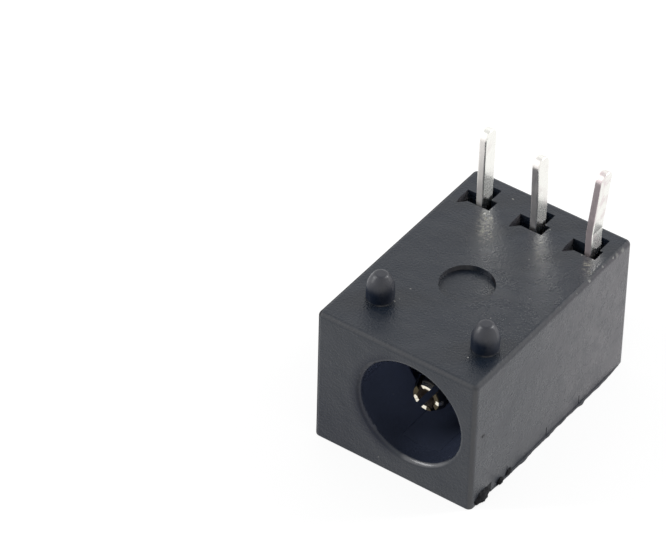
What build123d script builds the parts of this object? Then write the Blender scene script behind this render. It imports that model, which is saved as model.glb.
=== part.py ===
"""A board-mount dc barrel jack, lying on its flat top with the board face and the solder blades upward.

+Z leaves the board face, the mouth looks along -Y, and the origin is the middle of the face it lies on.
All sizes are in millimetres.
"""

import os
from math import cos, radians, sin, tan

from build123d import *

# Plug socket
bore_d = 4.0
bore_depth = 6.7
bore_roof = 0.52
bore_floor = 0.98
bore_side = 0.59
mouth_round = 0.18

# Moulded body: walls, and the bay behind the socket that holds the terminals
mouth_wall = 0.8
side_wall = 0.6
back_wall = 0.4
board_wall = 0.6
partition = 0.45
bay_length = 1.85
bay_margin = 0.45
upright_round = 0.2
board_round = 0.18
rest_round = 0.06

# Locating pegs with blunt oval tops, and the shallow round recess on the board face
peg_d = 0.98
peg_height = 1.06
crown_r = 0.9
crown_turn = 42
crown_tip_r = 0.14
peg_spacing = 4.21
peg_middle_x = 0.175
peg_setback = 1.86
recess_d = 1.94
recess_depth = 0.2
recess_setback = 4.15

# Slots for the blades: a bar across, a stem towards the back and a small spur at one end
slot_pitch = 2.15
slot_setback = 1.66
bar_length = 1.2
bar_width = 0.52
stem_length = 0.62
stem_width = 0.44
spur_length = 0.29
spur_width = 0.35
spur_inset = 0.06

# Sheet-metal terminals, with the blades' values from the -X one to the +X one
sheet = 0.28
coined_edge = 0.05
blade_width = 0.66
blade_heights = (3.08, 2.92, 3.5)
blade_setback = 1.25
blade_offsets = (0.14, 0.18, 0.25)
blade_leans = (0.5, -1.4, 5.5)
lean_start = 0.9
lug_length = 0.3
lug_height = 0.65
bend = 0.3

# Sleeve spring and the switch finger that it rests against
leaf_width = 1.4
leaf_reach = 1.5
leaf_setback = 2.7
crest_setback = 5.2
hairpin_width = 0.72
tip_gap = 0.2
crest_bend = 1.2

# Centre pin and the plate it is riveted to
pin_d = 1.3
pin_setback = 1.0
pin_hole_d = 0.7
tip_taper = 0.14
slit_width = 0.22
slit_length = 2.6
slit_angles = (52, 122)
shank_d = 0.9
rivet_d = 1.2
rivet_height = 0.2
plate_height = 1.8
plate_overhang = 0.9
plate_corner = 0.4

# Cover plate: tabs as (start from the mouth, length) on both sides, and (middle, length) along the back
cover_thickness = 0.45
front_rim = 0.6
side_tabs = ((1.2, 1.0), (4.55, 2.05))
back_tabs = ((-1.6, 1.5), (2.1, 1.4))
short_tab_gap = 0.75
channel_width = 1.5

# Clearances
seam = 0.04
rib_seam = 0.01
play = 0.06

# The body's outer size is the sum of what it holds
body_w = 2 * (slot_pitch + bay_margin + side_wall)
body_l = bore_depth + partition + bay_length + back_wall
body_h = bore_floor + bore_d + bore_roof
front = -body_l / 2
back = body_l / 2

bore_x = body_w / 2 - bore_side - bore_d / 2
bore_z = bore_floor + bore_d / 2
bore_end = front + bore_depth
bay_front = bore_end + partition
bay_back = back - back_wall
bay_half = body_w / 2 - side_wall
bay_top = body_h - board_wall

slot_xs = (-slot_pitch, 0.0, slot_pitch)
blade_xs = [x + offset for x, offset in zip(slot_xs, blade_offsets)]
sleeve_x, switch_x, pin_x = blade_xs
blade_y = back - blade_setback
spring_front = front + leaf_setback
spring_side = bore_x - leaf_reach + play + seam
finger_x = sleeve_x + 2 * sheet + tip_gap

# Points into the bore along +Y, with its origin at the middle of the mouth
bore_plane = Plane(origin=(bore_x, front, bore_z), x_dir=(1, 0, 0), z_dir=(0, 1, 0))


def span(x0, x1, y0, y1):
    """A rectangle between two corners."""
    return Pos((x0 + x1) / 2, (y0 + y1) / 2) * Rectangle(x1 - x0, y1 - y0)


def raised(sketch, z0, z1):
    """A plan outline made solid between two heights."""
    return extrude(Pos(0, 0, z0) * sketch, z1 - z0)


def outer_block():
    """The body's rounded outside, with nothing cut out of it."""
    block = Box(body_w, body_l, body_h, align=(Align.CENTER, Align.CENTER, Align.MIN))
    block = fillet(block.edges().filter_by(Axis.Z), upright_round)
    block = fillet(block.faces().sort_by(Axis.Z)[-1].edges(), board_round)
    return fillet(block.faces().sort_by(Axis.Z)[0].edges(), rest_round)


def peg(x):
    """A locating peg, turned about its own axis: two tangent arcs lead from its side to a small flat top."""
    radius = peg_d / 2
    turn = radians(crown_turn)
    flat_r = radius - crown_r * (1 - cos(turn)) - crown_tip_r * cos(turn)
    shoulder = peg_height - crown_r * sin(turn) - crown_tip_r * (1 - sin(turn))
    outline = Polyline(
        (flat_r, peg_height), (0, peg_height), (0, -board_round), (radius, -board_round), (radius, shoulder))
    outline += CenterArc((radius - crown_r, shoulder), crown_r, 0, crown_turn)
    outline += CenterArc((flat_r, peg_height - crown_tip_r), crown_tip_r, crown_turn, 90 - crown_turn)
    return Pos(x, front + peg_setback, body_h) * revolve(make_face(Plane.XZ * outline), Axis.Z)


def slot_outline(x, blade_x):
    """One blade slot in plan, around the middle of its bar, with its stem behind the blade."""
    bar_front = back - slot_setback
    bar_back = bar_front + bar_width
    left = x - bar_length / 2
    stem = blade_x - stem_width / 2
    spur = make_face(Polyline(
        (left, bar_front), (left + spur_inset, bar_front - spur_length), (left + spur_width, bar_front),
        close=True))
    return (span(left, left + bar_length, bar_front, bar_back)
            + span(stem, stem + stem_width, bar_front, bar_back + stem_length) + spur)


def cavity_outline():
    """The terminal bay and the spring bay beside the socket, in plan."""
    return make_face(Polyline(
        (-bay_half, bay_back), (-bay_half, spring_front), (spring_side, spring_front),
        (spring_side, bay_front), (bay_half, bay_front), (bay_half, bay_back), close=True))


def cover_outline(gap):
    """The cover with its tabs in plan, smaller by a gap where it meets the walls."""
    outline = span(-bay_half + gap, bay_half - gap, front + front_rim + gap, bay_back - gap)
    for start, length in side_tabs:
        outline += span(-body_w, body_w, front + start + gap, front + start + length - gap)
    for middle, length in back_tabs:
        outline += span(middle - length / 2 + gap, middle + length / 2 - gap, 0, body_l)
    return outline


def make_housing():
    """The black moulded body, open underneath so that the contacts drop in before the cover."""
    housing = outer_block()
    for side in (-1, 1):
        housing += peg(peg_middle_x + side * peg_spacing / 2)
    recess = Pos(0, front + recess_setback) * Circle(recess_d / 2)
    housing -= raised(recess, body_h - recess_depth, body_h)

    housing -= extrude(bore_plane * Circle(bore_d / 2), bore_depth)
    mouth = housing.faces().sort_by(Axis.Y)[0].edges().filter_by(GeomType.CIRCLE)
    mouth = mouth.filter_by(lambda edge: abs(edge.radius - bore_d / 2) < seam)
    housing = fillet(mouth, mouth_round)

    housing -= raised(cavity_outline(), cover_thickness, bay_top)
    for x, blade_x in zip(slot_xs, blade_xs):
        housing -= raised(slot_outline(x, blade_x), bay_top, body_h)

    # A channel under the socket lets the pin down into place, and a notch in the partition takes its shank
    half = channel_width / 2
    channel = span(bore_x - half, bore_x + half, front + mouth_wall, bore_end)
    housing -= raised(channel, cover_thickness, bore_z)
    half = shank_d / 2 + seam
    notch = span(bore_x - half, bore_x + half, bore_end, bay_front)
    housing -= raised(notch, cover_thickness, bore_z)
    housing -= Pos(0, bore_depth, 0) * extrude(bore_plane * Circle(half), partition)

    # Seat for the cover, with the front +X notch longer than the tab that came out short in it
    seat = cover_outline(0)
    start = front + side_tabs[0][0]
    seat += span(bay_half, body_w, start - short_tab_gap, start + seam)
    housing -= raised(seat, 0, cover_thickness)
    return housing


def make_cover():
    """The plate that closes the body, with a rib that fills the pin channel up to the bore.

    Its tabs end flush with the walls, with square edges where the walls are round.
    """
    cover = raised(cover_outline(seam) & Rectangle(body_w, body_l), 0, cover_thickness)
    half = channel_width / 2 - rib_seam
    rib = span(bore_x - half, bore_x + half, front + mouth_wall + rib_seam, bore_end - rib_seam)
    rib = raised(rib, cover_thickness, bore_z)
    cover += rib - extrude(bore_plane * Circle(bore_d / 2), bore_depth)
    tongue = span(bore_x - shank_d / 2, bore_x + shank_d / 2, bore_end + seam, bay_front - seam)
    return cover + raised(tongue, cover_thickness, bore_z - shank_d / 2 - seam)


def make_centre_pin():
    """The turned pin: hollow slit nose, body, shank through the partition and riveted tail."""
    nose = pin_setback
    tail = bore_depth + partition + sheet
    profile = Polyline(
        (0, tail + rivet_height), (0, nose + slit_length), (pin_hole_d / 2, nose + slit_length),
        (pin_hole_d / 2, nose), (pin_d / 2 - tip_taper, nose), (pin_d / 2, nose + 2 * tip_taper),
        (pin_d / 2, bore_depth), (shank_d / 2, bore_depth), (shank_d / 2, tail), (rivet_d / 2, tail))
    profile += TangentArc((0, tail + rivet_height), (rivet_d / 2, tail), tangent=(1, 0))
    pin = revolve(make_face(Plane.XZ * profile), Axis.Z)
    slit = Box(pin_d, slit_width, slit_length, align=(Align.CENTER, Align.CENTER, Align.MIN))
    for angle in slit_angles:
        pin -= Pos(0, 0, nose) * Rot(0, 0, angle) * slit
    return bore_plane.location * pin


def blade(place):
    """A terminal's upright strip, from its foot on the cover through the slot to its round tip."""
    x, lean = blade_xs[place], blade_leans[place]
    half = blade_width / 2
    tip = body_h + blade_heights[place]
    lug_top = bay_top - seam
    side_view = span(blade_y - half, blade_y + half, cover_thickness, tip - half)
    side_view += Pos(blade_y, tip - half) * Circle(half)
    side_view += span(blade_y - half - lug_length, blade_y, lug_top - lug_height, lug_top)

    knee = body_h + lean_start
    shift = tan(radians(lean)) * (tip - knee)
    left, right = x - sheet / 2, x + sheet / 2
    front_view = make_face(Polyline(
        (left, cover_thickness), (right, cover_thickness), (right, knee), (right + shift, tip),
        (left + shift, tip), (left, knee), close=True))
    strip_blank = (extrude(Plane.YZ * side_view, body_w, both=True)
                   & extrude(Plane.XZ * front_view, body_l, both=True))
    outline = strip_blank.edges().filter_by(Axis.X, reverse=True).filter_by(Axis.Y, reverse=True)
    return fillet(outline, coined_edge)


def strip(points, radii, width):
    """A bent strip on edge, centred on the height of the bore."""
    path = FilletPolyline(*points, radius=radii)
    return raised(trace(path, sheet), bore_z - width / 2, bore_z + width / 2)


def make_sleeve_spring():
    """The hairpin leaf that presses on the plug's sleeve, with its blade."""
    wall_x = -bay_half + play + sheet / 2
    nose_y = spring_front + play + sheet / 2
    crest_x = bore_x - leaf_reach - sheet / 2
    tip_x = finger_x - sheet
    root_y = blade_y - blade_width / 2
    points = (
        (sleeve_x, blade_y), (sleeve_x, root_y - sheet / 2), (wall_x, bay_front - partition),
        (wall_x, nose_y), (wall_x + hairpin_width, nose_y), (crest_x, front + crest_setback),
        (tip_x, bay_front - partition / 2), (tip_x, root_y - seam))
    return blade(0) + strip(points, (bend, bend, bend, bend, crest_bend, bend), leaf_width)


def make_switch_contact():
    """The fixed contact whose finger the leaf leaves when a plug pushes it aside."""
    run_y = bay_back - play - sheet / 2
    points = (
        (switch_x, blade_y), (switch_x, run_y), (finger_x, run_y), (finger_x, bay_front + seam))
    return blade(1) + strip(points, (bend, bend), leaf_width)


def make_pin_terminal():
    """The plate behind the partition that the pin is riveted to, folded back into its blade."""
    plate_y = bay_front + sheet / 2
    points = ((pin_x, blade_y), (pin_x, plate_y), (bore_x - plate_overhang, plate_y))
    plate = strip(points, (bend,), plate_height)
    plate = fillet(plate.edges().filter_by(Axis.Y).group_by(Axis.X)[0], plate_corner)
    plate -= extrude(bore_plane * Circle(shank_d / 2 + seam / 2), body_l)
    return blade(2) + plate


pieces = {
    "housing": make_housing(),
    "cover": make_cover(),
    "centre_pin": make_centre_pin(),
    "pin_terminal": make_pin_terminal(),
    "sleeve_spring": make_sleeve_spring(),
    "switch_contact": make_switch_contact(),
}

os.makedirs("parts", exist_ok=True)
for name, piece in pieces.items():
    export_step(piece, f"parts/{name}.step")
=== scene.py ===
"""The looks of a board-mount dc barrel jack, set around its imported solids.

Lengths are in metres in the frame of the solids: the jack lies on its flat top, the board face looks up
and the mouth looks along -Y. Places inside the materials and the flash are in millimetres.
"""

import math

import bpy
from mathutils import Matrix, Vector, noise as cloud


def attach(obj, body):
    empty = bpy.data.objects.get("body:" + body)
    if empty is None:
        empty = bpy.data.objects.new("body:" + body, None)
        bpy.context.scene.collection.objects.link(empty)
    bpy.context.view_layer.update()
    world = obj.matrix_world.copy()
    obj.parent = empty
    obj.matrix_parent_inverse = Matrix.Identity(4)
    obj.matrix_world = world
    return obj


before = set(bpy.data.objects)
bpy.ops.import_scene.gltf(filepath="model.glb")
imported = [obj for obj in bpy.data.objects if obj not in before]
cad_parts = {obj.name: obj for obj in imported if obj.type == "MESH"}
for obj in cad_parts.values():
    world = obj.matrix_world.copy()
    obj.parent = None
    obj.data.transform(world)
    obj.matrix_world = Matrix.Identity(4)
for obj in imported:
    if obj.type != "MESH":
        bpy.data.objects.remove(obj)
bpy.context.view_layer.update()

# Housing
# The body is one black injection moulding with the socket, the locating pegs and the blade slots in it.
# It is glass-filled plastic: a finely grained skin, matt edges, a grey film of handling on the +X side, and dust.
# Light and shade are painted on it too: light inside the socket and on the +X side, light and shade on the edges
# and pegs, shade low on the front, a highlight on the mouth's lip, and reflections of the blades and glints around
# the slots and along the edge behind them.
plastic_black = (0.007, 0.012, 0.022, 1)
plastic_faded = (0.048, 0.050, 0.054, 1)
# Painted shade on the front, low on its -X part and beside the mouth
painted_shade_black = (0.003, 0.006, 0.018, 1)
# A painted highlight on the mouth's lower lip, where it looks up and out
lip_painted_highlight = (0.30, 0.30, 0.31, 1)
# Edges painted light where they look up or stand upright, and painted with shade where they look along -X
edge_upper_painted_light = (0.068, 0.071, 0.078, 1)
edge_upright_painted_light = (0.100, 0.102, 0.107, 1)
edge_far_painted_shade = (0.004, 0.004, 0.006, 1)
# Pegs painted lit above and shaded on their feet, where they mirror the dark board
peg_painted_lit_grey = (0.027, 0.029, 0.038, 1)
peg_painted_shade_blue = (0.007, 0.012, 0.024, 1)
# Painted light inside the socket: bluish, and more of it deeper in
socket_painted_light_shallow = (0.025, 0.031, 0.050, 1)
socket_painted_light_deep = (0.170, 0.208, 0.340, 1)
# Painted light in the spring's bay beside the socket
bay_painted_light_blue = (0.300, 0.360, 0.560, 1)
# A grey film of handling, and painted light on the +X side
film_and_painted_light_grey = (0.101, 0.097, 0.108, 1)
# Painted reflections of the blades on the board face
painted_reflection_grey = (0.36, 0.35, 0.29, 1)
# Painted glints
painted_glint_grey = (0.50, 0.50, 0.47, 1)
dust_grey = (0.36, 0.35, 0.33, 1)
smudge_black = (0.005, 0.005, 0.006, 1)
# How far each effect lightens or darkens the colour, the painted shade and the painted lip highlight among them
patch_pale, flow_pale, rub_pale = 0.16, 0.12, 0.10
shade_strength, lip_highlight_strength, dust_strength = 0.7, 0.3, 0.8
# What each effect adds to the roughness
patch_rough, edge_rough, rim_rough, peg_rough, dust_rough = 0.08, 0.25, -0.05, 0.08, 0.30
# The gloss of the plain skin and of the edges, and the share of it that is left on other parts
gloss_plain, gloss_edge = 0.5, 0.17
smudge_gloss, shade_gloss, feet_gloss = 0.1, 0.5, 0.35
# The height of the grain in metres, and the share of it on the rim and the pegs
grain_height = 0.000034
smooth_grain = 0.3
socket_axis = (0.61, 0.0, 2.98)
board_level = 5.5
# Painted reflections of the blades on the board face before the slots, as x and y of the middle, length, width
# and strength, and their turn
painted_reflection_patches = (
    (-1.12, 2.20, 0.95, 0.30, 1.0), (-1.38, 2.62, 0.42, 0.07, 1.0), (-1.18, 2.66, 0.42, 0.06, 0.9),
    (1.02, 2.30, 0.90, 0.26, 0.28), (0.78, 2.72, 0.35, 0.08, 0.7), (2.78, 2.58, 0.55, 0.22, 0.95))
painted_reflection_turn = math.radians(34.6)
# Spots as x, y, z, radius and strength: painted glints around the slots and along the +X edge, then smudges on the
# +X side
painted_glint_spots = (
    (-1.58, 2.82, 5.5, 0.060, 1.0), (-1.50, 3.00, 5.5, 0.035, 0.8), (0.68, 3.44, 5.5, 0.045, 0.9),
    (0.60, 3.03, 5.5, 0.040, 0.8), (2.25, 3.00, 5.5, 0.050, 0.5), (2.68, 3.50, 5.5, 0.050, 0.8),
    (2.70, 3.02, 5.5, 0.055, 0.6), (-1.24, 4.05, 5.5, 0.040, 0.8), (2.10, -3.58, 5.5, 0.050, 0.9),
    (1.61, -1.50, 5.5, 0.035, 0.5), (-1.44, -2.72, 5.5, 0.040, 0.7), (-1.36, -2.52, 5.5, 0.035, 0.5),
    (3.17, 3.78, 5.40, 0.110, 0.30), (3.17, 4.12, 5.40, 0.120, 0.35), (3.12, 2.95, 5.45, 0.055, 0.7),
    (3.13, 3.55, 5.43, 0.050, 0.8), (3.14, 2.10, 5.42, 0.060, 0.6), (3.14, 0.35, 5.42, 0.040, 0.6),
    (3.14, 1.30, 5.42, 0.035, 0.5), (3.14, -1.40, 5.42, 0.035, 0.5), (0.95, 1.75, 5.5, 0.030, 0.5),
    (2.90, 2.40, 5.5, 0.035, 0.5), (-1.15, 1.35, 5.5, 0.030, 0.4))
smudge_spots = (
    (3.2, -4.18, 3.03, 0.10, 1.0), (3.2, -4.08, 2.99, 0.08, 0.9), (3.2, -2.71, 2.01, 0.09, 0.45),
    (3.2, -4.40, 2.70, 0.06, 0.8))


def feed(tree, node, inputs):
    """Sets the inputs of a node. Each is a plain value or the socket that feeds it."""
    for name, value in inputs.items():
        if isinstance(value, bpy.types.NodeSocket):
            tree.links.new(value, node.inputs[name])
        else:
            node.inputs[name].default_value = value


def place(tree, kind, inputs=None, **options):
    """Adds a shader node with its options and inputs."""
    node = tree.nodes.new("ShaderNode" + kind)
    for option, value in options.items():
        setattr(node, option, value)
    feed(tree, node, inputs or {})
    return node


def reckon(tree, operation, first, second=0.0, clamp=False):
    """The result of one Math node."""
    return place(tree, "Math", {0: first, 1: second}, operation=operation, use_clamp=clamp).outputs[0]


def times(tree, *factors):
    """The product of several values."""
    product = factors[0]
    for factor in factors[1:]:
        product = reckon(tree, "MULTIPLY", product, factor)
    return product


def largest(tree, values):
    """The largest of several values."""
    most = values[0]
    for value in values[1:]:
        most = reckon(tree, "MAXIMUM", most, value)
    return most


def vector(tree, operation, first, second=(0, 0, 0), output=0):
    """The result of one Vector Math node."""
    return place(tree, "VectorMath", {0: first, 1: second}, operation=operation).outputs[output]


def parts(tree, whole):
    """The X, Y and Z of a vector."""
    return place(tree, "SeparateXYZ", {0: whole}).outputs


def fade(tree, value, low, high, start=0.0, end=1.0):
    """A value carried smoothly from start to end while it goes from low to high."""
    inputs = {"Value": value, "From Min": low, "From Max": high, "To Min": start, "To Max": end}
    return place(tree, "MapRange", inputs, interpolation_type="SMOOTHSTEP").outputs["Result"]


def drop(tree, value, low, high):
    """A value carried smoothly from one to nought while it goes from low to high."""
    return fade(tree, value, low, high, 1.0, 0.0)


def mixed(tree, factor, first, second):
    """One colour laid over another by a factor."""
    node = place(tree, "Mix", {0: factor, 6: first, 7: second}, data_type="RGBA")
    return node.outputs[2]


def millimetres(tree, stretch=(1, 1, 1)):
    """The place on the piece in millimetres, stretched along its axes."""
    where = place(tree, "TexCoord").outputs["Object"]
    return vector(tree, "MULTIPLY", where, tuple(1000 * share for share in stretch))


def facing(tree):
    """The X, Y and Z of the way that the surface looks."""
    return parts(tree, place(tree, "TexCoord").outputs["Normal"])


def across(tree, aside):
    """How long a vector is, seen along Y."""
    return vector(tree, "LENGTH", vector(tree, "MULTIPLY", aside, (1, 0, 1)), output="Value")


def noise(tree, where, scale, detail=2.0, rough=0.5):
    """A cloudy value around one half."""
    inputs = {"Vector": where, "Scale": scale, "Detail": detail, "Roughness": rough}
    return place(tree, "TexNoise", inputs).outputs["Fac"]


def stray(tree, where, scale, detail, reach):
    """A cloudy vector around nought that reaches so far along each axis."""
    drift = place(tree, "TexNoise", {"Vector": where, "Scale": scale, "Detail": detail}).outputs["Color"]
    return vector(tree, "MULTIPLY", vector(tree, "SUBTRACT", drift, (0.5, 0.5, 0.5)), reach)


def bumped(tree, height, strength, distance):
    """The normal of a surface that is raised by a height."""
    return place(tree, "Bump", {"Height": height, "Strength": strength, "Distance": distance}).outputs["Normal"]


def group(name, inputs, outputs):
    """An empty shader node group with number inputs, given as name and default, and number outputs."""
    tree = bpy.data.node_groups.new(name, "ShaderNodeTree")
    for label, default in inputs.items():
        socket = tree.interface.new_socket(label, in_out="INPUT", socket_type="NodeSocketFloat")
        socket.default_value = default
    for label in outputs:
        tree.interface.new_socket(label, in_out="OUTPUT", socket_type="NodeSocketFloat")
    return tree, tree.nodes.new("NodeGroupInput").outputs, tree.nodes.new("NodeGroupOutput")


def placed_group(tree, made, inputs=None):
    """The outputs of a node group set into a material with its own values."""
    node = tree.nodes.new("ShaderNodeGroup")
    node.node_tree = made
    feed(tree, node, inputs or {})
    return node.outputs


def make_mould_skin():
    """The skin of a moulding: fine grain as a height, soft cloudy patches, and streaks of the melt's flow."""
    grain_share, swell_share = 0.6, 0.8
    flow_stretch = (0.35, 2.6, 0.7)
    tree, given, result = group("mould skin", {"Grain": 12.0, "Patch": 0.9}, ("Height", "Patches", "Flow"))
    where = millimetres(tree)
    grain = noise(tree, where, given["Grain"], 3.0, 0.6)
    swell = noise(tree, where, 1.1, 1.0)
    height = reckon(tree, "ADD", times(tree, grain, grain_share), times(tree, swell, swell_share))
    patches = fade(tree, noise(tree, where, given["Patch"], 4.0, 0.65), 0.35, 0.70)
    flow = fade(tree, noise(tree, millimetres(tree, flow_stretch), 1.4, 3.0), 0.40, 0.75)
    feed(tree, result, {"Height": height, "Patches": patches, "Flow": flow})
    return tree


def make_dust():
    """Loose specks of dust and lint, as a mask."""
    least_size = 0.35
    tree, given, result = group("dust", {"Density": 1.6, "Share": 0.3, "Size": 0.05}, ("Mask",))
    cells = place(tree, "TexVoronoi", {"Vector": millimetres(tree), "Scale": given["Density"]}).outputs
    lot = place(tree, "SeparateColor", {0: cells["Color"]}).outputs
    chosen = reckon(tree, "LESS_THAN", lot["Red"], given["Share"])
    reach = times(tree, given["Size"], reckon(tree, "ADD", lot["Green"], least_size), given["Density"])
    depth = reckon(tree, "DIVIDE", cells["Distance"], reach)
    feed(tree, result, {"Mask": times(tree, drop(tree, depth, 0.5, 1.0), lot["Blue"], chosen)})
    return tree


def make_edge_rub():
    """Masks of the rounded edges, of where they are rubbed, of the ways that edges face for their painted light and
    shade, and of the pegs and their feet.

    On an edge the surface looks along none of the piece's axes. The pegs stand above the board face.
    """
    peg_roots, peg_feet = (5.52, 5.60), (5.85, 6.35)
    labels = ("Edge", "Rub", "Upper", "Far shade", "Pegs", "Feet shade")
    tree, given, result = group("edge rub", {"Break": 5.0}, labels)
    looks = facing(tree)
    most = largest(tree, [reckon(tree, "ABSOLUTE", looks[axis]) for axis in "XYZ"])
    height = parts(tree, millimetres(tree))["Z"]
    pegs = fade(tree, height, *peg_roots)
    rounded = times(tree, drop(tree, most, 0.84, 0.995), reckon(tree, "SUBTRACT", 1.0, pegs))
    broken = fade(tree, noise(tree, millimetres(tree), given["Break"], 4.0), 0.42, 0.66)
    feed(tree, result, {
        "Edge": rounded, "Rub": times(tree, rounded, broken), "Upper": fade(tree, looks["Z"], 0.1, 0.5),
        "Far shade": drop(tree, looks["X"], -0.5, -0.2), "Pegs": pegs,
        "Feet shade": times(tree, pegs, drop(tree, height, *peg_feet))})
    return tree


def make_socket():
    """Masks of the plug socket: the mouth's rim, the painted highlight on its lower lip, the inside, the depth that
    the painted light inside follows, a bay.

    The bay is the spring's, which opens into the -X side of the socket.
    """
    mouth, end = (-4.68, -4.45), (2.2, 2.4)
    wall, rim_edge = (2.00, 2.10), (2.19, 2.24)
    bay_left, bay_right = (-3.10, -3.00), (-0.9, -0.8)
    bay_floor, bay_top = (0.3, 0.4), (4.9, 5.0)
    depth_run, far_wall, near_half = (-4.6, -1.0), (-1.4, 0.2), (0.2, 1.2)
    far_wall_depth, near_half_depth = 0.16, 0.3
    lip_left, lip_right = (0.25, 0.55), (1.9, 2.4)
    tree, _, result = group("socket", {}, ("Rim", "Lip highlight", "Inside", "Depth", "Bay"))
    where = millimetres(tree)
    away = across(tree, vector(tree, "SUBTRACT", where, socket_axis))
    spot = parts(tree, where)
    before_end = drop(tree, spot["Y"], *end)
    behind = times(tree, fade(tree, spot["Y"], *mouth), before_end)
    inside = times(tree, drop(tree, away, *wall), behind)
    bay = times(tree, fade(tree, spot["X"], *bay_left), drop(tree, spot["X"], *bay_right),
                drop(tree, spot["Z"], *bay_top), fade(tree, spot["Z"], *bay_floor),
                reckon(tree, "SUBTRACT", behind, inside, clamp=True))
    depth = reckon(tree, "ADD", fade(tree, spot["Y"], *depth_run),
                   fade(tree, spot["X"], *far_wall, far_wall_depth, 0.0))
    depth = reckon(tree, "MULTIPLY", depth, fade(tree, spot["X"], *near_half, 1.0, near_half_depth), clamp=True)
    rim = times(tree, drop(tree, away, *rim_edge), before_end)
    looks = facing(tree)
    lip = times(tree, rim, fade(tree, looks["Z"], 0.15, 0.5), drop(tree, looks["Y"], -0.4, -0.2),
                fade(tree, spot["X"], *lip_left), drop(tree, spot["X"], *lip_right))
    feed(tree, result, {"Rim": rim, "Lip highlight": lip, "Inside": inside, "Depth": depth, "Bay": bay})
    return tree


def make_painted_front_shade():
    """Where the front is painted with shade and made less glossy, low on its -X part and beside the mouth, as a
    mask.
    """
    low_rise, low_across, low_most = (0.2, 4.6), (-2.4, 1.6), 0.8
    ring, ring_across = (2.10, 2.60), (-0.7, 0.5)
    tree, _, result = group("painted front shade", {}, ("Mask",))
    forward = facing(tree)["Y"]
    where = millimetres(tree)
    spot = parts(tree, where)
    low = times(tree, fade(tree, spot["Z"], *low_rise, low_most, 0.0), drop(tree, spot["X"], *low_across),
                drop(tree, forward, -0.9, -0.6))
    away = across(tree, vector(tree, "SUBTRACT", where, socket_axis))
    beside = times(tree, drop(tree, away, *ring), drop(tree, spot["X"], *ring_across),
                   drop(tree, forward, -0.3, -0.1))
    feed(tree, result, {"Mask": reckon(tree, "ADD", low, beside)})
    return tree


def make_side_film_and_light():
    """The film of handling on the side that looks along +X, with painted light on that side, ragged on its edges,
    stronger behind, as a mask.
    """
    fray_reach = 0.3
    front, back, front_share, back_share = -3.0, 5.2, 0.15, 1.15
    tree, given, result = group("side film and light", {"Patch": 1.8}, ("Mask",))
    where = millimetres(tree)
    fray = fade(tree, noise(tree, where, 7.0, 5.0, 0.7), 0.25, 0.75, -fray_reach, fray_reach)
    side = fade(tree, reckon(tree, "ADD", facing(tree)["X"], fray), 0.30, 0.80)
    backward = fade(tree, parts(tree, where)["Y"], front, back, front_share, back_share)
    patchy = fade(tree, noise(tree, where, given["Patch"], 6.0, 0.75), 0.30, 0.70, 0.4, 1.2)
    film_and_light = reckon(tree, "MULTIPLY", times(tree, side, backward), patchy, clamp=True)
    feed(tree, result, {"Mask": film_and_light})
    return tree


def make_spots(name, spots):
    """Ragged spots at set places on the piece as a mask, each given as x, y, z, radius and strength."""
    core = 0.3
    tree, _, result = group(name, {}, ("Mask",))
    where = millimetres(tree)
    where = vector(tree, "ADD", where, stray(tree, where, 14.0, 4.0, (0.16, 0.16, 0.16)))
    masks = []
    for x, y, z, radius, strength in spots:
        away = vector(tree, "DISTANCE", where, (x, y, z), "Value")
        masks.append(fade(tree, away, core * radius, radius, strength, 0.0))
    feed(tree, result, {"Mask": largest(tree, masks)})
    return tree


def make_painted_reflections():
    """Speckled painted reflections of the blades on the board, in patches drawn out from the slots to the mouth, as
    a mask.
    """
    thinness = 8.0
    tree, given, result = group("painted_reflections", {"Fine": 9.0}, ("Mask",))
    turned_back = {"Vector": millimetres(tree), "Angle": painted_reflection_turn}
    drawn = place(tree, "VectorRotate", turned_back, rotation_type="Z_AXIS", invert=True).outputs[0]
    speckle = noise(tree, drawn, given["Fine"], 4.0, 0.7)
    masks = []
    for x, y, length, width, strength in painted_reflection_patches:
        middle = Matrix.Rotation(-painted_reflection_turn, 3, "Z") @ Vector((x, y, board_level))
        away = vector(tree, "SUBTRACT", drawn, tuple(middle))
        away = vector(tree, "MULTIPLY", away, (1 / width, 1 / length, thinness))
        away = vector(tree, "LENGTH", away, output="Value")
        masks.append(fade(tree, away, 0.1, 1.3, strength, 0.0))
    feed(tree, result, {"Mask": times(tree, largest(tree, masks), fade(tree, speckle, 0.42, 0.72))})
    return tree


mould_skin = make_mould_skin()
painted_reflections = make_painted_reflections()
dust = make_dust()
edge_rub = make_edge_rub()
plug_socket = make_socket()
painted_front_shade = make_painted_front_shade()
side_film_and_light = make_side_film_and_light()
painted_glints = make_spots("painted_glints", painted_glint_spots)
smudges = make_spots("smudges", smudge_spots)


def new_material(name):
    """An empty node material with its tree and its Principled shader."""
    material = bpy.data.materials.new(name)
    material.use_nodes = True
    return material, material.node_tree, material.node_tree.nodes["Principled BSDF"]


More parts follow.
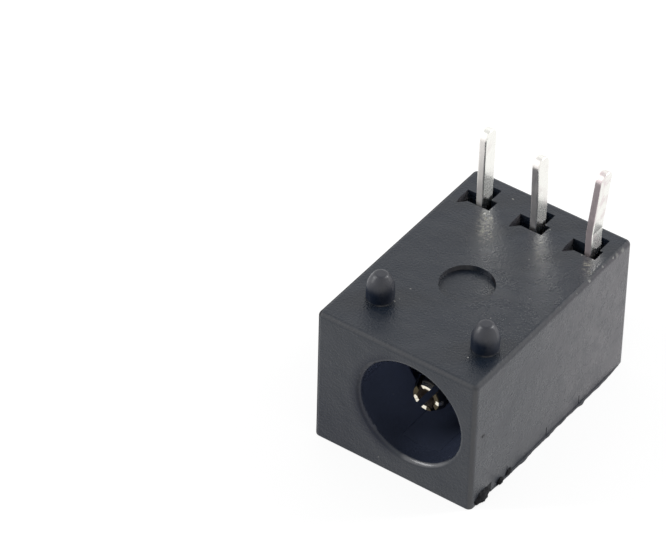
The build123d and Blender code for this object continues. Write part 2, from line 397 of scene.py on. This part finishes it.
def moulded_plastic(name, grain, dull):
    """Black moulded plastic: grain is how fine its skin is, dull how matt."""
    material, tree, shader = new_material(name)
    skin = placed_group(tree, mould_skin, {"Grain": grain, "Patch": 0.9})
    specks = placed_group(tree, dust, {"Density": 1.4, "Share": 0.28, "Size": 0.05})["Mask"]
    edge = placed_group(tree, edge_rub, {"Break": 4.0})
    socket = placed_group(tree, plug_socket)
    # painted shade on the front
    shade = placed_group(tree, painted_front_shade)["Mask"]
    # the film of handling with painted light on the +X side
    film_and_light = placed_group(tree, side_film_and_light, {"Patch": 1.8})["Mask"]
    # painted reflections of the blades
    reflected = placed_group(tree, painted_reflections, {"Fine": 9.0})["Mask"]
    # painted glints around the slots and along the edge
    glinted = placed_group(tree, painted_glints)["Mask"]
    smudged = placed_group(tree, smudges)["Mask"]
    matt = reckon(tree, "SUBTRACT", edge["Edge"], socket["Rim"], clamp=True)
    specks = times(tree, specks, fade(tree, socket["Inside"], 0.0, 1.0, dust_strength, 0.0))

    pale = reckon(tree, "ADD", times(tree, skin["Patches"], patch_pale), times(tree, skin["Flow"], flow_pale))
    pale = reckon(tree, "ADD", pale, times(tree, edge["Rub"], rub_pale), clamp=True)
    shaded = reckon(tree, "MULTIPLY", shade, shade_strength, clamp=True)
    # pegs painted lit above and shaded on their feet
    pegs = mixed(tree, edge["Feet shade"], peg_painted_lit_grey, peg_painted_shade_blue)
    # edges painted light or shade by the way they look
    painted_edge_tones = mixed(tree, edge["Far shade"], mixed(tree, edge["Upper"], edge_upright_painted_light, edge_upper_painted_light), edge_far_painted_shade)
    # painted light inside the socket
    painted_socket_light = mixed(tree, socket["Depth"], socket_painted_light_shallow, socket_painted_light_deep)
    colour = mixed(tree, pale, plastic_black, plastic_faded)
    for mask, laid in (
            (shaded, painted_shade_black), (edge["Pegs"], pegs), (matt, painted_edge_tones), (film_and_light, film_and_painted_light_grey),
            # the spring's bay is painted light
            (socket["Inside"], painted_socket_light), (socket["Bay"], bay_painted_light_blue),
            # a painted highlight on the mouth's lip
            (times(tree, socket["Lip highlight"], lip_highlight_strength), lip_painted_highlight),
            (smudged, smudge_black), (reflected, painted_reflection_grey), (glinted, painted_glint_grey), (specks, dust_grey)):
        colour = mixed(tree, mask, colour, laid)

    rough = dull
    for mask, more in (
            (skin["Patches"], patch_rough), (matt, edge_rough), (socket["Rim"], rim_rough),
            (edge["Pegs"], peg_rough), (specks, dust_rough)):
        rough = reckon(tree, "ADD", rough, times(tree, mask, more))
    rough = reckon(tree, "ADD", rough, 0.0, clamp=True)
    gloss = times(
        tree, fade(tree, matt, 0.0, 1.0, gloss_plain, gloss_edge), fade(tree, smudged, 0.0, 1.0, 1.0, smudge_gloss),
        fade(tree, shade, 0.0, 1.8, 1.0, shade_gloss), fade(tree, edge["Feet shade"], 0.0, 1.0, 1.0, feet_gloss))
    smooth = reckon(tree, "MAXIMUM", socket["Rim"], edge["Pegs"])
    grained = fade(tree, smooth, 0.0, 1.0, 1.0, smooth_grain)
    feed(tree, shader, {
        "Base Color": colour, "Roughness": rough, "Specular IOR Level": gloss,
        "Normal": bumped(tree, skin["Height"], grained, grain_height)})
    return material


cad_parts["housing"].material_slots[0].material = moulded_plastic("housing plastic", grain=12.0, dull=0.25)

# Cover
# The plate that closes the body underneath is a second black moulding, a little duller than the first.
# Its tabs drop into notches in the walls and show there as short seams.
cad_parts["cover"].material_slots[0].material = moulded_plastic("cover plastic", grain=10.0, dull=0.36)

# Flash
# Along its lower +X edge the moulding has a ragged lip of flash. At its front end, where the tab didn't fill,
# it is torn into a lump, a bump and a chip. It is the same black plastic, squeezed out of the mould's joint
# and left untrimmed.
lip_x = 3.19
lip_start = -3.50
lip_end = 4.42
lip_steps = 132
lip_sides = 8
lip_out = 0.062
lip_out_least = 0.012
lip_half_height = 0.040
lip_above_floor = 0.002
# Lumps along the lip as y of the middle, half width and height
lip_lumps = ((1.95, 0.16, 0.050), (-1.62, 0.22, 0.055), (-0.10, 0.12, 0.030), (3.10, 0.35, 0.018))
torn_black = (0.006, 0.006, 0.008, 1)


def ragged(x, y, z, fine):
    """A cloudy number between about -1 and 1 at a place."""
    return cloud.noise(Vector((x, y, z)) * fine)


def add_piece(name, points, faces, material):
    """Makes a smooth mesh from points in millimetres, and joins it to the body of the jack."""
    mesh = bpy.data.meshes.new(name)
    mesh.from_pydata([Vector(point) / 1000 for point in points], [], faces)
    mesh.update()
    mesh.shade_smooth()
    piece = bpy.data.objects.new(name, mesh)
    mesh.materials.append(material)
    bpy.context.scene.collection.objects.link(piece)
    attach(piece, "root")
    return piece


def skinned(rows, columns):
    """The faces of a closed tube of points, row by row."""
    faces = []
    for row in range(rows):
        for column in range(columns):
            low, high = row * columns + column, row * columns + (column + 1) % columns
            faces.append((low, high, high + columns, low + columns))
    return faces


def lip():
    """The points and faces of the lip: a flattened bead whose width wanders along the edge."""
    taper = 12
    points = []
    for step in range(lip_steps + 1):
        share = step / lip_steps
        y = lip_start + (lip_end - lip_start) * share
        ends = min(1.0, taper * share, taper * (1 - share))
        out = lip_out + sum(height * math.exp(-((y - middle) / width) ** 2) for middle, width, height in lip_lumps)
        wander = 0.020 * ragged(0.3, y, 0.7, 3.1) + 0.010 * ragged(1.3, y, 0.2, 9.0)
        out = ends * (out + wander) + lip_out_least
        tall = lip_half_height * (1 + 0.25 * ragged(2.1, y, 0.4, 4.0))
        for side in range(lip_sides):
            turn = 2 * math.pi * side / lip_sides
            points.append((lip_x + out * math.cos(turn), y, tall + lip_above_floor + tall * math.sin(turn)))
    faces = skinned(lip_steps, lip_sides)
    faces.append(tuple(reversed(range(lip_sides))))
    faces.append(tuple(range(lip_steps * lip_sides, (lip_steps + 1) * lip_sides)))
    return points, faces


def lump(middle, radii, rows=14, columns=22, fine=6.0, ragging=0.30, above_floor=0.003):
    """The points and faces of a torn lump: a ball of three radii with a ragged skin, kept above the floor."""
    points = []
    for row in range(rows + 1):
        rise = math.pi * (row / rows - 0.5)
        for column in range(columns):
            turn = 2 * math.pi * column / columns
            way = Vector((math.cos(rise) * math.cos(turn), math.cos(rise) * math.sin(turn), math.sin(rise)))
            swell = 1 + ragging * ragged(*(way * 0.5 + Vector(middle)), fine)
            point = [m + r * swell * w for m, r, w in zip(middle, radii, way)]
            points.append((point[0], point[1], max(above_floor, point[2])))
    return points, skinned(rows, columns)


def torn_plastic():
    """Plastic where it tore: darker than its skin, rough, with pale threads."""
    thread_stretch = (1, 0.35, 1)
    material, tree, shader = new_material("torn plastic")
    threads = noise(tree, millimetres(tree, thread_stretch), 9.0, 4.0, 0.7)
    feed(tree, shader, {
        "Base Color": mixed(tree, fade(tree, threads, 0.58, 0.74), torn_black, plastic_faded),
        "Roughness": fade(tree, threads, 0.3, 0.7, 0.75, 0.5), "Specular IOR Level": 0.15,
        "Normal": bumped(tree, threads, 0.8, 0.00004)})
    return material


torn = torn_plastic()
flash_plastic = moulded_plastic("flash plastic", grain=10.0, dull=0.40)
add_piece("flash_lip", *lip(), flash_plastic)
add_piece("flash_torn", *lump((3.17, -4.02, 0.21), (0.175, 0.42, 0.24)), torn)
add_piece("flash_bump", *lump((3.22, -2.96, 0.12), (0.10, 0.16, 0.12)), torn)
add_piece("flash_chip", *lump((3.20, -2.42, 0.14), (0.06, 0.17, 0.13)), torn)

# Centre pin
# The pin is turned from brass, drilled and slit at its nose into four petals, and thinly plated.
# It is held by its riveted tail. Its plate is rough and painted dark for the shade in the socket, and glints are
# painted bright on the ends of the petals.
plate_bright = (0.95, 0.90, 0.76, 1)
# The plate and the barrel are painted dark for the shade in the socket
plate_painted_shade = (0.085, 0.070, 0.042, 1)
barrel_painted_shade = (0.020, 0.022, 0.030, 1)
hole_brown = (0.42, 0.36, 0.31, 1)
glint_end_rough, dull_rough = 0.14, 0.42
# Painted glints on the ends of the petals, as turns about the pin's axis from +X towards +Z, in degrees, with the
# half width of each glint and the radius from which it starts
painted_glint_ends = ((84, 34, 0.36), (124, 9, 0.28), (-140, 11, 0.28), (-158, 8, 0.40), (-99, 13, 0.32), (-3, 10, 0.38))


def make_painted_glint_ends():
    """The painted glints on the ends of the petals, the end of the nose, and the drilled hole, as masks."""
    glint_depth, nose_depth = (-3.66, -3.50), (-3.70, -3.64)
    hole_edge, start_softness = (0.40, 0.50), 0.03
    tree, _, result = group("painted glint ends", {}, ("Glint ends", "Nose", "Hole"))
    where = millimetres(tree)
    aside = vector(tree, "ADD", vector(tree, "SUBTRACT", where, socket_axis),
                   stray(tree, where, 5.0, 2.0, (0.22, 0, 0.22)))
    away = across(tree, aside)
    aside = parts(tree, aside)
    turn = reckon(tree, "ARCTAN2", aside["Z"], aside["X"])
    masks = []
    for middle, half, start in painted_glint_ends:
        off = reckon(tree, "ABSOLUTE", reckon(tree, "SUBTRACT", turn, math.radians(middle)))
        end = drop(tree, off, math.radians(0.7 * half), math.radians(1.2 * half))
        masks.append(times(tree, end, fade(tree, away, start, start + start_softness)))
    ends = times(tree, largest(tree, masks), drop(tree, aside["Y"], *glint_depth))
    nose = drop(tree, aside["Y"], *nose_depth)
    feed(tree, result, {"Glint ends": ends, "Nose": nose, "Hole": drop(tree, away, *hole_edge)})
    return tree


def make_tool_lines():
    """Fine marks left by the tool along one axis as a height, and patches of tarnish as a mask."""
    line_stretch = (1, 1, 0.06)
    tree, given, result = group("tool lines", {"Fine": 30.0, "Tarnish": 2.4}, ("Height", "Tarnish"))
    lines = noise(tree, millimetres(tree, line_stretch), given["Fine"], 2.0)
    spots = noise(tree, millimetres(tree), given["Tarnish"], 5.0, 0.6)
    feed(tree, result, {"Height": lines, "Tarnish": fade(tree, spots, 0.48, 0.72)})
    return tree


tool_lines = make_tool_lines()


def pin_plate():
    """Thin plate over brass, painted dark for the shade in the socket and darkest on the barrel, with painted
    glints on the petals.
    """
    material, tree, shader = new_material("pin plate")
    marks = placed_group(tree, tool_lines, {"Fine": 26.0, "Tarnish": 5.0})
    glint_masks = placed_group(tree, make_painted_glint_ends())
    dull = mixed(tree, marks["Tarnish"], plate_painted_shade, barrel_painted_shade)
    colour = mixed(tree, glint_masks["Nose"], mixed(tree, glint_masks["Hole"], barrel_painted_shade, hole_brown), dull)
    feed(tree, shader, {
        "Base Color": mixed(tree, glint_masks["Glint ends"], colour, plate_bright), "Metallic": 1.0,
        "Roughness": fade(tree, glint_masks["Glint ends"], 0.0, 1.0, dull_rough, glint_end_rough),
        "Normal": bumped(tree, marks["Height"], 0.2, 0.00001)})
    return material


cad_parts["centre_pin"].material_slots[0].material = pin_plate()

# Terminals
# The three blades are stamped from brass sheet and tinned, and each is one piece with its contact inside.
# They pass through the slots, and the right-hand one is bent aside as it came out of the bag.
tin_bright = (0.92, 0.915, 0.87, 1)
tin_stain = (0.70, 0.58, 0.60, 1)
tin_rough, tarnish_rough = 0.25, 0.12
# How stained each blade is, and how much rougher its sheared faces are
blades = (("sleeve_spring", 0.2, 0.24), ("switch_contact", 0.3, 0.06), ("pin_terminal", 0.8, 0.20))


def make_sheared():
    """The narrow faces that the stamping tool sheared, which look along Y, as a mask."""
    tree, _, result = group("sheared", {}, ("Mask",))
    along = reckon(tree, "ABSOLUTE", facing(tree)["Y"])
    feed(tree, result, {"Mask": fade(tree, along, 0.70, 0.95)})
    return tree


sheared_faces = make_sheared()


def tinned(name, stain, torn_edge):
    """Bright tin over brass with marks of the stamping tool, stained and rougher where it was sheared."""
    material, tree, shader = new_material(name)
    marks = placed_group(tree, tool_lines, {"Fine": 26.0, "Tarnish": 1.6})
    sheared = placed_group(tree, sheared_faces)["Mask"]
    stained = times(tree, reckon(tree, "ADD", marks["Tarnish"], sheared, clamp=True), stain)
    rough = reckon(tree, "ADD", tin_rough, times(tree, marks["Tarnish"], tarnish_rough))
    rough = reckon(tree, "ADD", rough, times(tree, sheared, torn_edge))
    feed(tree, shader, {
        "Base Color": mixed(tree, stained, tin_bright, tin_stain), "Metallic": 1.0, "Roughness": rough,
        "Normal": bumped(tree, marks["Height"], 0.15, 0.00001)})
    return material


for terminal, stain, torn_edge in blades:
    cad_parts[terminal].material_slots[0].material = tinned(terminal + " tin", stain, torn_edge)

# Floor
# A plain pale sheet under the jack. It shows as white, and keeps a faint shadow where the jack stands on it.
floor_half = 1.5
floor_pale = (0.80, 0.80, 0.80, 1)
floor_shaded = (0.30, 0.30, 0.30, 1)
floor_glow = 0.80
floor_mirrored_glow = 0.74

corners = [(x * floor_half, y * floor_half, 0) for x, y in ((-1, -1), (1, -1), (1, 1), (-1, 1))]
floor_mesh = bpy.data.meshes.new("floor")
floor_mesh.from_pydata(corners, [], [(0, 1, 2, 3)])
floor = bpy.data.objects.new("floor", floor_mesh)
bpy.context.scene.collection.objects.link(floor)


def either(tree, factor, first, second):
    """The first value where the factor is nought, the second where it is one."""
    return place(tree, "Mix", {0: factor, 2: first, 3: second}).outputs[0]


floor_look = bpy.data.materials.new("floor")
floor_look.use_nodes = True
floor_look.cycles.emission_sampling = "NONE"
floor_tree = floor_look.node_tree
floor_tree.nodes.clear()
path = place(floor_tree, "LightPath").outputs
shown = largest(floor_tree, [path["Is Camera Ray"], path["Is Transmission Ray"], path["Is Glossy Ray"]])
glow = either(floor_tree, path["Is Glossy Ray"], floor_glow, floor_mirrored_glow)
pale = place(floor_tree, "BsdfDiffuse", {"Color": floor_pale}).outputs[0]
shaded = place(floor_tree, "BsdfDiffuse", {"Color": floor_shaded}).outputs[0]
lit = place(floor_tree, "Emission", {"Strength": glow}).outputs[0]
white = place(floor_tree, "AddShader", {0: shaded, 1: lit}).outputs[0]
floor_end = place(floor_tree, "MixShader", {0: shown, 1: pale, 2: white}).outputs[0]
place(floor_tree, "OutputMaterial", {"Surface": floor_end})
floor_mesh.materials.append(floor_look)

# Light
# A soft white room, and two tall soft boxes on stands, one behind the jack on its right and one on its left,
# which give the glints on the pegs and the blades.
room_level = 0.44
seen_level = 1.0
mirrored_low = 1.00
mirrored_high = 1.12
mirrored_top = 0.72
# Heights of the looked-at part of the room, as the sine of the rise
wall_rise, top_rise = (0.10, 0.60), (0.70, 0.98)
box_distance = 0.30
box_width = 0.10
box_height = 0.19
world = bpy.data.worlds.new("room")
world.use_nodes = True
world.cycles.sampling_method = "NONE"
room = world.node_tree
room.nodes.clear()
height = parts(room, place(room, "TexCoord").outputs["Generated"])["Z"]
mirrored = times(room, fade(room, height, *wall_rise, mirrored_low, mirrored_high),
                 fade(room, height, *top_rise, 1.0, mirrored_top / mirrored_high))
path = place(room, "LightPath").outputs
level = either(room, path["Is Glossy Ray"], room_level, mirrored)
seen = largest(room, [path["Is Camera Ray"], path["Is Transmission Ray"]])
level = either(room, seen, level, seen_level)
sky = place(room, "Background", {"Color": (1, 1, 1, 1), "Strength": level}).outputs[0]
place(room, "OutputWorld", {"Surface": sky})
bpy.context.scene.world = world


def soft_box(name, turn, rise, level):
    """A tall lamp aimed at the jack, level times as bright as white.

    It is turned from +Y towards +X and raised, both in degrees.
    """
    lamp = bpy.data.lights.new(name, "AREA")
    lamp.shape = "RECTANGLE"
    lamp.size = box_width
    lamp.size_y = box_height
    lamp.energy = level * math.pi * box_width * box_height
    stand = bpy.data.objects.new(name, lamp)
    turn, rise = math.radians(turn), math.radians(rise)
    towards = Vector((math.sin(turn) * math.cos(rise), math.cos(turn) * math.cos(rise), math.sin(rise)))
    stand.location = towards * box_distance
    stand.rotation_euler = (-towards).to_track_quat("-Z", "Y").to_euler()
    stand.visible_camera = False
    bpy.context.scene.collection.objects.link(stand)


soft_box("back soft box", turn=38, rise=31, level=8.5)
soft_box("left soft box", turn=238, rise=30, level=8.5)

# Camera
# It looks down on the mouth from the right, from far enough that the sides hardly close in.
camera_turn = math.radians(34.56)
camera_height = math.radians(40.75)
camera_roll = math.radians(1.46)
camera_aim = Vector((-0.006901, 0.001579, 0.00075))
camera_distance = 0.1623
camera_lens = 251.0
camera_sensor = 36.0
camera_nearest = 0.005
turned = (Matrix.Rotation(camera_turn, 4, "Z") @ Matrix.Rotation(math.pi / 2 - camera_height, 4, "X")
          @ Matrix.Rotation(camera_roll, 4, "Z"))
camera_data = bpy.data.cameras.new("camera")
camera_data.lens = camera_lens
camera_data.sensor_width = camera_sensor
camera_data.clip_start = camera_nearest
camera = bpy.data.objects.new("camera", camera_data)
back = turned @ Vector((0, 0, 1))
camera.matrix_world = Matrix.Translation(camera_aim + back * camera_distance) @ turned
bpy.context.scene.collection.objects.link(camera)
bpy.context.scene.camera = camera

# View
# Colours are shown as they are.
bpy.context.scene.view_settings.view_transform = "Standard"
